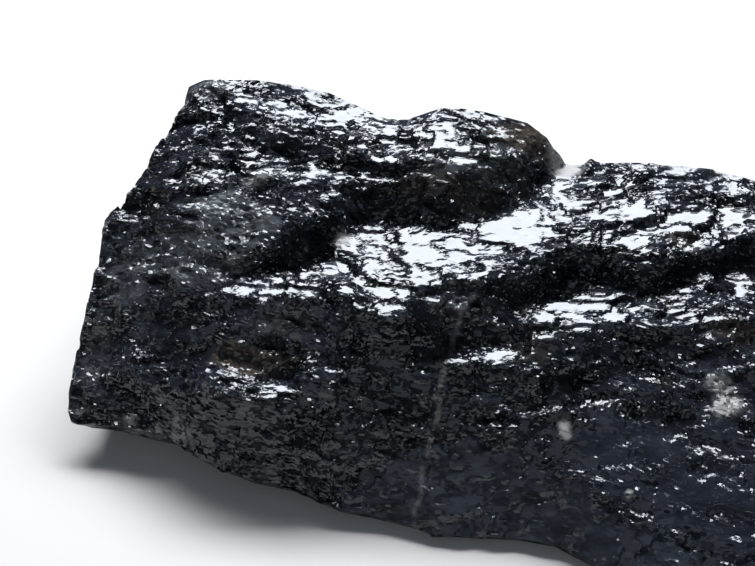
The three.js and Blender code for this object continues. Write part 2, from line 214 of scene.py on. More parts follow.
@dataclass(frozen=True)
class Hollow:
    """A shell-shaped hollow broken out of a side."""

    centre: tuple[float, float, float]
    radius: float
    depth: float


@dataclass
class StoneForm:
    """The shape of the stone as functions of the place seen from above, all in mm."""

    foot: Line = (
        (-90, -30, 9.6), (-84, -31.1, 9), (-78, -29.6, 8.7), (-69, -29, 8.3), (-62, -28.2, 8),
        (-53, -31.8, 7), (-43, -33, 6), (-32, -31.8, 5.5), (-22, -33.9, 4.5), (-14, -32.8, 4),
        (-4, -32.9, 3), (0, -33.8, 2.6), (7, -32.1, 2.6), (19, -29.5, 2.6), (27, -29, 2.6),
        (33, -31, 2.6), (47, -37.8, 3), (60, -42, 3.5), (69, -43, 4.5), (80, -37, 7), (90, -28, 9),
    )
    slate_top: Line = (
        (-90, -26, 12), (-70, -26, 13), (-54, -29.2, 15), (-39, -28.8, 14.5), (-24, -29, 12),
        (-17, -23.3, 16.5), (-9, -18.5, 18.5), (-1, -16, 20), (14, -16, 18.5), (24, -19.2, 15.5),
        (31, -22.5, 13.5), (43, -24, 13), (57, -24, 15), (70, -24, 15), (90, -20, 12),
    )
    lower_rib: Line = (
        (-90, -20.5, 17), (-70, -21.5, 19), (-58, -25, 22), (-51, -26, 23.4),
        (-43, -26, 23.6), (-35, -23.6, 23.2), (-22, -18, 23.4), (-8, -10.2, 28), (1, -8.3, 29.2),
        (11, -5.4, 29.5), (24, -2, 27), (40, 2, 26.5), (57, 6, 27), (74, 0, 24), (90, -8, 18),
    )
    middle_rib: Line = (
        (-90, -15, 21.5), (-70, -15, 24.5), (-54, -16, 27), (-38, -13, 28.5), (-24, -11.5, 31),
        (-8, -6.5, 31.5), (4, -2.4, 31.9), (10.6, 0.6, 32.9), (17.7, 3, 33.4), (25, 7.9, 33.8),
        (34, 11.2, 34.1), (46, 16.9, 34.4), (57, 21.1, 34.4), (72, 16, 30.4), (90, 2, 22),
    )
    shoulder: Line = (
        (-90, -9, 26), (-70, -9.5, 30), (-56, -9.2, 32.7), (-46, -7.6, 35.1), (-34, -4.5, 37),
        (-26, -5.9, 38), (-19, -6.3, 38.2), (-11, -2.5, 38.4), (-2, 4, 39.1), (6, 12.7, 40.3),
        (13, 19.7, 41), (22, 22, 41), (31, 23, 40.6), (44, 29, 40), (56, 33, 39),
        (70, 30, 34.5), (90, 12, 25),
    )
    upper_rib: Line = (
        (-90, 13, 37), (-85.6, 13.8, 37.5), (-80.5, 14.9, 40), (-70, 14.8, 43),
        (-56, 15.9, 44.8), (-45, 17.5, 45.4), (-39.5, 23, 46.6), (-33.3, 28.5, 48),
        (-26, 31, 49.2), (-17, 33.5, 50.4), (-4, 36.5, 50.2), (6, 38, 46.4), (20, 36, 42.2),
        (40, 40, 41.8), (60, 41, 39.5), (74, 35, 34), (90, 22, 25.2),
    )
    crown: Line = (
        (-90, 31, 44.5), (-81, 31, 45), (-75, 36, 48), (-63, 37, 50), (-50, 36.5, 50.3),
        (-39, 33.4, 49.5), (-27, 33, 49.7), (-17, 36, 51), (-8, 38, 51), (0, 40, 50.2),
        (8, 42, 46), (20, 43, 42.7), (40, 47, 42.3), (60, 45, 40), (74, 38, 34), (90, 28, 25.5),
    )
    rim: Line = (
        (-84, 45, 46), (-78, 45.6, 50), (-64, 46.5, 52), (-47, 46.3, 52), (-40, 45, 51),
        (-32, 43.4, 50), (-27, 44.2, 50.3), (-20, 47.4, 53), (-11, 48.4, 53), (0, 48.5, 51.5),
        (7, 46.5, 49), (12, 47.6, 45.5), (18, 49, 43.6), (27, 51.5, 43.2), (36, 53, 43.6),
        (44, 54, 43.2), (53, 54, 42), (66, 50, 37), (80, 41, 31), (90, 34, 26),
    )
    ledges: tuple[Ledge, ...] = (
        # the broad bright tread that climbs from the left middle to the back
        Ledge(
            (
                (-60, -8.8, 33.2), (-52, -3.4, 34.4), (-44, 4.3, 36.1), (-36, 11.8, 37.8),
                (-31, 18.2, 38.8), (-24, 21.9, 39.8), (-13.5, 21.7, 40), (-5.5, 26.3, 40.7),
                (0.8, 31, 41.2), (5.4, 39.9, 42), (9, 45.4, 42.5), (14, 53.5, 43.1),
            ),
            0.06, 1.4, 3.4, 0.75,
        ),
        # the second tread, right of the middle
        Ledge(
            (
                (7, 6, 32.8), (9.8, 10.1, 33.4), (17.3, 16.9, 34.2), (28.2, 17.7, 34.4),
                (36.6, 20.4, 34.7), (44.4, 27, 35), (55.7, 34.6, 35.5), (75, 40, 34),
            ),
            0.06, 1.5,
        ),
        # a short wedge below the second tread
        Ledge(((-7, -6, 28.8), (-0.5, -3.1, 29.3), (10, -0.2, 29.7), (16, -1.3, 29.7)), 0.02, 1.1),
        # a small patch low on the left
        Ledge(
            ((-56, -21.5, 23.8), (-48, -19, 24.4), (-37, -18.5, 24.6), (-33, -19.5, 24.2)),
            0.06, 1.1,
        ),
    )
    left_end: Line = (
        (-31.1, -84.2), (-28, -86.6), (-21, -87), (-13.5, -86.5), (-2, -87.5), (8, -89.5),
        (14, -86), (24, -83), (36, -81), (45, -82),
    )
    right_end: Line = (
        (-37, 80), (-26, 86), (-13, 89), (5, 86.5), (22, 90), (34, 86), (41, 80),
    )
    undercuts: tuple[Undercut, ...] = (
        Undercut((-38.5, -15), (-0.54, -0.84), 0.19),
        Undercut((30, -29), (0.25, -0.97), 0.28),
        Undercut((72, 0), (0.99, -0.1), 0.35),
        Undercut((0, 30), (-0.05, 1), 0.2),
    )
    hollows: tuple[Hollow, ...] = (
        Hollow((-46, 46, 24), 27, 4.2),
        Hollow((22, 49, 14), 24, 3.4),
        Hollow((88, 4, 14), 21, 3.6),
        Hollow((-86, 22, 20), 22, 2.8),
    )
    patches: tuple[Patch, ...] = (
        # the broad bright tread
        Patch(((-56, -8), (-48, -1), (-40, 3), (-37, 8), (-35, 13), (-28, 20), (-18, 21), (-6, 27),
               (0, 32), (0, 35), (4, 41), (8, 46), (18, 48), (20, 37), (16, 32), (13, 24), (6, 14),
               (-1, 6), (-10, 0), (-20, -6), (-28, -3), (-45, -5)), 0.97),
        # the back right, with a dark dent in it
        Patch(((18, 50), (31, 54), (44, 54), (56, 53), (66, 46), (60, 36), (43, 28), (33, 23),
               (22, 21), (13, 25), (18, 33)), 0.75),
        Patch(((33, 46), (44, 50), (42, 42), (36, 41)), 0.05),
        # the rim on the left, and the stripes and facets below it
        Patch(((-80, 40), (-78, 44), (-54, 47), (-41, 46), (-30, 45), (-18, 49), (-11, 49),
               (-12, 42), (-14, 36), (-26, 33), (-37, 31), (-51, 36), (-61, 37), (-71, 34)), 0.85),
        Patch(((-72, 22), (-64, 28), (-59, 34), (-39, 34), (-26, 33), (-4, 39), (3, 38), (-2, 33),
               (-11, 27), (-24, 24.5), (-30, 25), (-46, 22), (-57, 18), (-66, 20)), 0.5),
        Patch(((-22, 30), (-12, 27), (-2, 30), (2, 38), (-8, 39), (-24, 34)), 0.55),
        Patch(((-80, 17), (-74, 20), (-65, 19), (-55, 18), (-54, 14), (-67, 11), (-77, 14)), 0.65),
        # the second tread and the wedge in front of it
        Patch(((10, 2), (12, 12), (17, 17), (24, 18), (30, 17), (37, 20), (45, 22), (47, 17),
               (37, 11.5), (28, 8), (20, 3.5), (13, 0)), 0.95),
        Patch(((-3, -3.3), (11, -0.3), (8, -6.8), (1, -7.3)), 1.0, True),
        Patch(((-5, -5), (1, -5), (8, -9), (4, -12), (-2, -10)), 0.3),
        # low on the left
        Patch(((-54, -21.5), (-46, -18.5), (-38, -18.5), (-34, -22), (-38, -26), (-46, -26)), 0.7),
        Patch(((-61, -28), (-59, -31), (-49, -29), (-43, -25), (-52, -26)), 0.3),
        Patch(((-49, -15), (-44, -13), (-39, -14), (-42, -16)), 1.0, True),
        Patch(((-41, -8), (-35, -8.6), (-36, -10.6), (-40, -9.8)), 1.0, True),
        Patch(
            ((-35, -16), (-29, -15), (-24, -12.5), (-24, -15), (-27, -17), (-33, -17.5)), 1.0, True
        ),
        Patch(((-40, -29), (-32, -27), (-22, -27), (-22, -31), (-29, -32), (-37, -31)), 0.3),
        # on the right
        Patch(((23, 21), (35, 24), (56, 35), (64, 36), (60, 22), (45, 21), (32, 20)), 0.4),
        Patch(((26, 5), (36, 11), (58, 20), (62, 16), (47, 11), (35, 6)), 0.35),
        Patch(((10, -13), (17, -9.5), (23, -9), (16, -12)), 1.0, True),
        Patch(((27, -6), (34, -2), (34, -4), (29, -7)), 1.0, True),
    )
    # the share of level flakes outside every patch
    stray_share: float = 0.05
    # the grid that the patches are read from: its reach in x and y, and its step
    grid_reach: tuple[tuple[float, float], tuple[float, float]] = ((-95, 95), (-50, 60))
    grid_step: float = 0.5
    # level flakes lie on a shallow dish: the middle of it, and its curvature in 1 per mm
    dish_middle: tuple[float, float] = (-12.0, -10.0)
    dish_curve: tuple[float, float] = (0.0024, 0.0019)
    flakes: tuple[Flake, ...] = (
        Flake(14, 7.5, 1.3, 0.9, (0.04, 0.14), (0.0, 0.0), 0.08, 40, 1.0),
        Flake(8.0, 3.0, 0.7, 0.5, (0.03, 0.16), (0.06, 0.3), 0.06, 60, 0.8),
        Flake(3.0, 1.6, 0.35, 0.3, (0.02, 0.2), (0.02, 0.1), 0.04, 80),
    )
    slate_flakes: tuple[Flake, ...] = (
        Flake(9.0, 5.0, 0.5, 0.4, (0.13, 0.13), (0.0, 0.0), 0, 45),
        Flake(3.6, 2.2, 0.3, 0.26, (0.12, 0.12), (0.0, 0.03), 0, 65),
    )
    side_flakes: tuple[Flake, ...] = (
        Flake(17, 12, 1.3, 1.3, (0.12, 0.12), (0, 0), 0, 70),
        Flake(6.5, 4.5, 0.45, 0.45, (0.16, 0.16), (0, 0), 0, 90),
        Flake(3, 2.2, 0.2, 0.2, (0.2, 0.2), (0, 0), 0, 95),
    )
    slate_outline: Outline = (
        (-24, -38), (-21, -32), (-16, -27), (-10, -23.5), (-5, -20.5), (2, -18), (8, -19),
        (13, -17.5), (20, -18.5), (27, -21), (33, -23.5), (41, -25), (52, -28), (66, -32),
        (90, -32), (90, -50), (-20, -46),
    )
    # the place right of the slate facet that is much like it
    quiet_outline: Outline = (
        (20, -20), (26, -11), (38, -6), (56, -5), (74, -2), (86, -10), (84, -34), (41, -25),
    )
    # the share of the slate facet's look that the quiet place has, and the width of its edge
    quiet_share: float = 0.8
    quiet_edge: float = 3.0
    flow_degrees: float = 16.0
    top_swell: float = 1.1
    full_height: float = 45.0
    underside_inset: float = 0.045
    underside_dimple: float = 1.2
    side_bulge: float = 0.018
    side_swell: float = 1.8
    # the plan is about this much longer than it is deep
    long_to_deep: float = 2.2

    def form_height(self, x: Array, y: Array) -> Array:
        """Height of the loft through the ridge lines and broad swells, with the ledges cut in."""
        ridges = (self.foot, self.slate_top, self.lower_rib, self.middle_rib, self.shoulder,
                  self.upper_rib, self.crown, self.rim)
        line_y, line_z = along(ridges[0], x), along(ridges[0], x, 2)
        z = line_z
        for ridge in ridges[1:]:
            next_y, next_z = along(ridge, x), along(ridge, x, 2)
            t = np.clip((y - line_y) / np.maximum(next_y - line_y, 0.3), 0, 1)
            z = np.where(y > line_y, line_z + t * (next_z - line_z), z)
            line_y, line_z = next_y, next_z
        z = z + self.top_swell * swell(x / 26, y / 13, 3)
        for ledge in self.ledges:
            foot_y, foot_z = along(ledge.foot, x), along(ledge.foot, x, 2)
            ends = np.maximum(np.maximum(ledge.foot[0][0] - x, x - ledge.foot[-1][0]), 0)
            behind = np.maximum(y - foot_y, 0) + ends
            cut = foot_z - ledge.tread * np.maximum(foot_y - y, 0)
            cut += ledge.riser * np.minimum(behind, ledge.bend)
            cut += ledge.upper * np.maximum(behind - ledge.bend, 0)
            z = np.minimum(z, cut)
        return z

    def level_slopes(self, x: Array, y: Array) -> tuple[Array, Array]:
        """Slopes of the level flakes' dish: the distance from its middle times its curvature."""
        return (
            self.dish_curve[0] * (x - self.dish_middle[0]),
            self.dish_curve[1] * (y - self.dish_middle[1]),
        )

    def plate_height(self, x: Array, y: Array) -> Array:
        """Height of the form with its flat patches: level planes that stay near the form."""
        z = self.form_height(x, y)
        for patch in self.patches:
            if patch.flat:
                cx, cy = np.mean(patch.outline, axis=0)
                middle = self.form_height(np.array([cx]), np.array([cy]))[0]
                along_x, along_y = self.level_slopes(cx, cy)
                plane = middle + along_x * (x - cx) + along_y * (y - cy)
                share = np.clip(self.inside(x, y, patch.outline) * 2 + 0.5, 0, 1)
                z = z + share * np.clip(plane - z, -1.6, 1.2)
        return z

    @cached_property
    def share_grids(self) -> tuple[Array, Array]:
        """The share of level flakes and of the flat patches, on a grid seen from above.

        The edges of the patches are a little ragged for the level flakes.
        """
        (west, east), (south, north) = self.grid_reach
        gx, gy = np.meshgrid(
            np.arange(west, east, self.grid_step), np.arange(south, north, self.grid_step),
            indexing="ij",
        )
        wx, wy = gx + 1.6 * swell(gx / 6, gy / 6, 11), gy + 1.2 * swell(gx / 6, gy / 6, 12)
        level, flat = np.full(gx.shape, self.stray_share), np.zeros(gx.shape)
        for patch in self.patches:
            within = np.clip(self.inside(wx, wy, patch.outline) + 0.5, 0, 1)
            level += within * (patch.share - level)
            if patch.flat:
                flat = np.maximum(flat, np.clip(self.inside(gx, gy, patch.outline) + 0.6, 0, 1))
        return level, flat

    def patch_shares(self, x: Array, y: Array) -> tuple[Array, Array]:
        """Reads how many flakes lie level and where the flat patches are.

        Args:
            x: Places along the stone.
            y: Places across it.

        Returns:
            The share of level flakes, and the share of the flat patches.
        """
        level, flat = self.share_grids
        (west, _), (south, _) = self.grid_reach
        i = np.clip(((x - west) / self.grid_step).astype(int), 0, level.shape[0] - 1)
        j = np.clip(((y - south) / self.grid_step).astype(int), 0, level.shape[1] - 1)
        return level[i, j], flat[i, j]

    def broken(self, height: Height, flake: Flake) -> Height:
        """Breaks a surface into flat flakes.

        Every cell is a facet through the surface at its centre. It keeps the slope there, or lies
        level in a share of the cells, with a small tilt of its own, and stays within the flake's
        drop and lift of the surface.

        Args:
            height: The surface to break.
            flake: The size and looseness of the flakes.

        Returns:
            The broken surface.
        """
        turn = math.radians(self.flow_degrees)
        c, s = math.cos(turn), math.sin(turn)

        def broken_height(x: Array, y: Array) -> Array:
            """Height of the broken surface."""
            bent_x = x + 2.6 * swell(x / 17, y / 17, 31)
            bent_y = y + 2.6 * swell(x / 17 + 9, y / 17, 32)
            a = (bent_x * c + bent_y * s) / flake.length
            b = (bent_y * c - bent_x * s) / flake.width
            i, j, p, q = nearest_cell(a, b, flake.seed)
            du, dv = (a - p) * flake.length, (b - q) * flake.width
            dx, dy = du * c - dv * s, du * s + dv * c
            cx, cy, e = x - dx, y - dy, 0.8 if flake.length > 6 else 0.4
            slope_x = (height(cx + e, cy) - height(cx - e, cy)) / (2 * e)
            slope_y = (height(cx, cy + e) - height(cx, cy - e)) / (2 * e)
            sheen = self.patch_shares(cx, cy)[0]
            level_x, level_y = self.level_slopes(cx, cy)
            pick = hashed(i, j, flake.seed + 2)
            level = np.clip((np.maximum(sheen, flake.glint) - pick) * 12 + 0.5, 0, 1)
            off = np.hypot(slope_x - level_x, slope_y - level_y)
            calm = np.clip(np.maximum(level, 1.3 - off / 0.12) * np.clip(sheen * 3, 0, 1), 0, 1)
            tilt = flake.tilt[0] * calm + flake.tilt[1] * (1 - calm)
            tilt_x = (hashed(i, j, flake.seed + 3) * 2 - 1) * tilt
            tilt_y = (hashed(i, j, flake.seed + 4) * 2 - 1) * tilt
            lie_x = slope_x + (level_x - slope_x) * level + tilt_x
            lie_y = slope_y + (level_y - slope_y) * level + tilt_y
            step = flake.step[0] * calm + flake.step[1] * (1 - calm)
            facet = height(cx, cy) + (hashed(i, j, flake.seed + 5) * 2 - 1) * step
            facet += lie_x * dx + lie_y * dy
            here = height(x, y)
            edge = np.clip((along(self.rim, x) - y) / 6, 0.15, 1)
            edge *= 1 - flake.keeps_flats * self.patch_shares(x, y)[1]
            return here + edge * np.clip(facet - here, -flake.drop, flake.lift)

        return broken_height

    def inside(self, x: Array, y: Array, outline: Outline) -> Array:
        """Distance into a closed outline seen from above, below 0 outside it."""
        corners = np.array(outline)
        least = np.full(x.shape, np.inf)
        within = np.zeros(x.shape, bool)
        for a, b in zip(corners, np.roll(corners, -1, axis=0)):
            d = b - a
            t = np.clip(((x - a[0]) * d[0] + (y - a[1]) * d[1]) / (d @ d), 0, 1)
            least = np.minimum(least, np.hypot(x - a[0] - t * d[0], y - a[1] - t * d[1]))
            spans = (a[1] > y) != (b[1] > y)
            within ^= spans & (x < d[0] * (y - a[1]) / (d[1] + 1e-12) + a[0])
        return np.where(within, least, -least)

    def top_height(self, x: Array, y: Array) -> Array:
        """Height of the top: the form broken three times over, less so in the slate facet."""
        rough: Height = self.plate_height
        for flake in self.flakes:
            rough = self.broken(rough, flake)
        calm: Height = self.form_height
        for flake in self.slate_flakes:
            calm = self.broken(calm, flake)
        slate = self.slate_share(x, y)
        return rough(x, y) * (1 - slate) + calm(x, y) * slate

    def slate_share(self, x: Array, y: Array) -> Array:
        """Share of the slate facet at each place, with a jagged boundary and part of it beyond."""
        wx = x + 2.4 * swell(x / 5, y / 5, 21) + 0.8 * noise(x / 1.3, y / 1.3, 23)
        wy = y + 1.8 * swell(x / 5, y / 5, 22) + 0.6 * noise(x / 1.3, y / 1.3, 24)
        quiet = np.clip(self.inside(wx, wy, self.quiet_outline) / self.quiet_edge + 0.5, 0, 1)
        quiet = quiet * self.quiet_share
        return np.maximum(np.clip(self.inside(wx, wy, self.slate_outline) + 0.5, 0, 1), quiet)

    def calm_and_steep(self, x: Array, y: Array, z: Array) -> tuple[Array, Array]:
        """How calm and how steep the top lies.

        It is calm where its slopes are the dish's, inside the level patches, and steep where they
        are over 1. The slopes come from the differences along the lattice's two directions.

        Args:
            x: Places of the lattice along the stone.
            y: Places of the lattice across it.
            z: Heights of the top there.

        Returns:
            Two shares in 0..1 on the same lattice.
        """
        (xu, xv), (yu, yv), (zu, zv) = (np.gradient(values) for values in (x, y, z))
        area = xu * yv - xv * yu
        lie_x, lie_y = (zu * yv - zv * yu) / area, (zv * xu - zu * xv) / area
        level_x, level_y = self.level_slopes(x, y)
        off = np.hypot(lie_x - level_x, lie_y - level_y)
        calm = np.clip(1.4 - off / 0.2, 0, 1) * np.clip(self.patch_shares(x, y)[0] * 2.5, 0, 1)
        return calm, np.clip((np.hypot(lie_x, lie_y) - 0.9) / 1.2, 0, 1)

    def under_height(self, x: Array, y: Array) -> Array:
        """Height of the underside: 0 on the base, rising outward on the undercut planes."""
        z = np.zeros(x.shape)
        for cut in self.undercuts:
            out = (x - cut.point[0]) * cut.toward[0] + (y - cut.point[1]) * cut.toward[1]
            z = np.maximum(z, cut.rise * out)
        return z

    def side_push(self, x: Array, y: Array, z: Array, around: Array) -> Array:
        """How far the sides stand out: a broad swell and leaning flakes, less the hollows.

        Args:
            x: Places along the stone.
            y: Places across it.
            z: Heights.
            around: Distances round the stone.

        Returns:
            The distances outward in mm.
        """
        push = self.side_swell * swell(around / 34, z / 34, 75)
        for flake in self.side_flakes:
            a, b = around / flake.length, z / flake.width
            i, j, p, q = nearest_cell(a, b, flake.seed)
            step, lean_a, lean_b = (hashed(i, j, flake.seed + n) * 2 - 1 for n in (1, 2, 3))
            push += step * flake.lift
            push += lean_a * flake.tilt[0] * (a - p) * flake.length
            push += lean_b * flake.tilt[0] * (b - q) * flake.width
        for hollow in self.hollows:
            away = sum((c - o) ** 2 for c, o in zip((x, y, z), hollow.centre))
            push -= hollow.depth * np.maximum(1 - away / hollow.radius**2, 0)
        return push

    def plan_point(self, u: Array, v: Array) -> tuple[Array, Array]:
        """Place inside the outline seen from above: a patch blended from its four sides."""
        (y0, x0), (y1, x1) = self.left_end[0], self.left_end[-1]
        (y2, x2), (y3, x3) = self.right_end[0], self.right_end[-1]
        front, back = x0 + (x2 - x0) * u, x1 + (x3 - x1) * u
        left, right = y0 + (y1 - y0) * v, y2 + (y3 - y2) * v
        end_left = along(self.left_end, left) - (x0 + (x1 - x0) * v)
        end_right = along(self.right_end, right) - (x2 + (x3 - x2) * v)
        front_y = along(self.foot, front) - (y0 + (y2 - y0) * u)
        back_y = along(self.rim, back) - (y1 + (y3 - y1) * u)
        x = front + (back - front) * v + end_left + (end_right - end_left) * u
        y = left + (right - left) * u + front_y + (back_y - front_y) * v
        return x, y


class Tint(Enum):
    """What colours a place of the break, by the name of its mask."""

    VEIL = "veil"
    # partly stains and the smoky brown of thin edges, partly painted light glinting brown through
    # them
    STAIN_AND_GLINT = "stain_and_glint"
    CHALK = "chalk"
    SEAM = "seam"


@dataclass(frozen=True)
class Mark:
    """A tinted place on the top: a feathered ellipse with its sizes in mm, and its strength."""

    tint: Tint
    centre: tuple[float, float]
    half: tuple[float, float]
    degrees: float = 0.0
    strength: float = 1.0


@dataclass
class Tinting:
    """Where the quartz is cloudy, stained or chalky, where painted light glints brown through thin
    edges, and the healed crack that crosses it.
    """

    marks: tuple[Mark, ...] = (
        # clouds inside the left end
        Mark(Tint.VEIL, (-64, 1), (15, 8), 15, 0.42),
        Mark(Tint.VEIL, (-78, -4), (8, 6), 60, 0.48),
        Mark(Tint.VEIL, (-62, 12), (9, 3.2), 5, 1.0),
        Mark(Tint.VEIL, (-52, 9), (6, 4), 0, 0.4),
        Mark(Tint.VEIL, (-82, -18), (3, 8), 0, 0.3),
        Mark(Tint.VEIL, (-40, -10), (9, 3), 10, 0.24),
        Mark(Tint.VEIL, (-6, 1), (4, 3), 60, 0.24),
        # the rounded corner at the back left
        Mark(Tint.VEIL, (-76, 44), (5, 2.6), -20, 1.0),
        # brown marks: partly stains and the smoky brown of thin edges, partly painted light glinting
        # through them
        Mark(Tint.STAIN_AND_GLINT, (1, 45), (9, 4), 15, 0.75),
        Mark(Tint.STAIN_AND_GLINT, (-12, 28), (16, 2.6), 12, 0.5),
        Mark(Tint.VEIL, (-10, 34), (18, 4), 10, 0.3),
        Mark(Tint.STAIN_AND_GLINT, (53, 15), (7, 2), 8, 0.5),
        Mark(Tint.STAIN_AND_GLINT, (-46, -17), (9, 3), 5, 0.8),
        Mark(Tint.STAIN_AND_GLINT, (40, 31), (4, 3), 30, 0.4),
        Mark(Tint.STAIN_AND_GLINT, (12, -1), (6, 3), 10, 0.4),
        # pale, crushed places
        Mark(Tint.CHALK, (10, 46), (4.2, 3.4), 30, 0.75),
        Mark(Tint.CHALK, (-33, 13), (2.2, 2.2), 0, 0.9),
        Mark(Tint.CHALK, (46.5, 55.5), (3.4, 1.6), 10, 0.9),
        Mark(Tint.CHALK, (23, -12), (1.7, 1.6), 0, 1.0),
        Mark(Tint.CHALK, (55, 0), (3.6, 3), 30, 0.62),
        Mark(Tint.CHALK, (53, 4), (3, 1.8), 10, 0.5),
        Mark(Tint.CHALK, (39, -21), (1.1, 0.9), 0, 0.8),
        Mark(Tint.CHALK, (-71, -28), (2, 1), 0, 0.3),
        Mark(Tint.CHALK, (-84, -27.5), (4, 1.2), 0, 0.25),
        Mark(Tint.CHALK, (-64, -28.5), (9, 0.9), 3, 0.25),
        Mark(Tint.CHALK, (-56, 19), (3, 1.5), 20, 0.35),
        Mark(Tint.CHALK, (62, 36), (4, 2), 10, 0.35),
    )
    # the healed crack, and its half width
    seam: Line = (
        (-1.5, 4.6), (-3.4, 1), (-4.4, -4), (-4.6, -10), (-4.2, -16), (-4.6, -22), (-4.2, -27),
        (-4.8, -34),
    )
    seam_half: float = 0.55

    def masks(self, x: Array, y: Array, reach: Array) -> dict[str, Array]:
        """Works out each tint's mask.

        A mark is the smooth cubic of one minus the squared distance in its own ellipse. The seam
        fades with the distance from its line.

        Args:
            x: Places along the stone.
            y: Places across it.
            reach: How far the tints reach down the sides.

        Returns:
            Shares in 0..1 by the mask's name.
        """
        wx, wy = x + 1.2 * swell(x / 2.6, y / 2.6, 91), y + 1.2 * swell(x / 2.6, y / 2.6, 92)
        masks = {tint.value: np.zeros(x.shape) for tint in Tint}
        for mark in self.marks:
            turn = math.radians(mark.degrees)
            dx, dy = wx - mark.centre[0], wy - mark.centre[1]
            a = (dx * math.cos(turn) + dy * math.sin(turn)) / mark.half[0]
            b = (dy * math.cos(turn) - dx * math.sin(turn)) / mark.half[1]
            share = smooth(np.clip(1.3 - a * a - b * b, 0, 1)) * mark.strength
            masks[mark.tint.value] = np.maximum(masks[mark.tint.value], share * reach)
        off = np.full(x.shape, np.inf)
        nudged = x + 0.5 * noise(y / 2.2, y * 0, 93)
        for (ax, ay), (bx, by) in zip(self.seam, self.seam[1:]):
            dx, dy = bx - ax, by - ay
            t = np.clip(((nudged - ax) * dx + (y - ay) * dy) / (dx * dx + dy * dy), 0, 1)
            off = np.minimum(off, np.hypot(nudged - ax - t * dx, y - ay - t * dy))
        shown = 0.8 + 0.5 * swell(x / 3, y / 3, 94)
        masks[Tint.SEAM.value] = np.clip(1.3 - off / self.seam_half, 0, 1) * shown * reach
        return masks


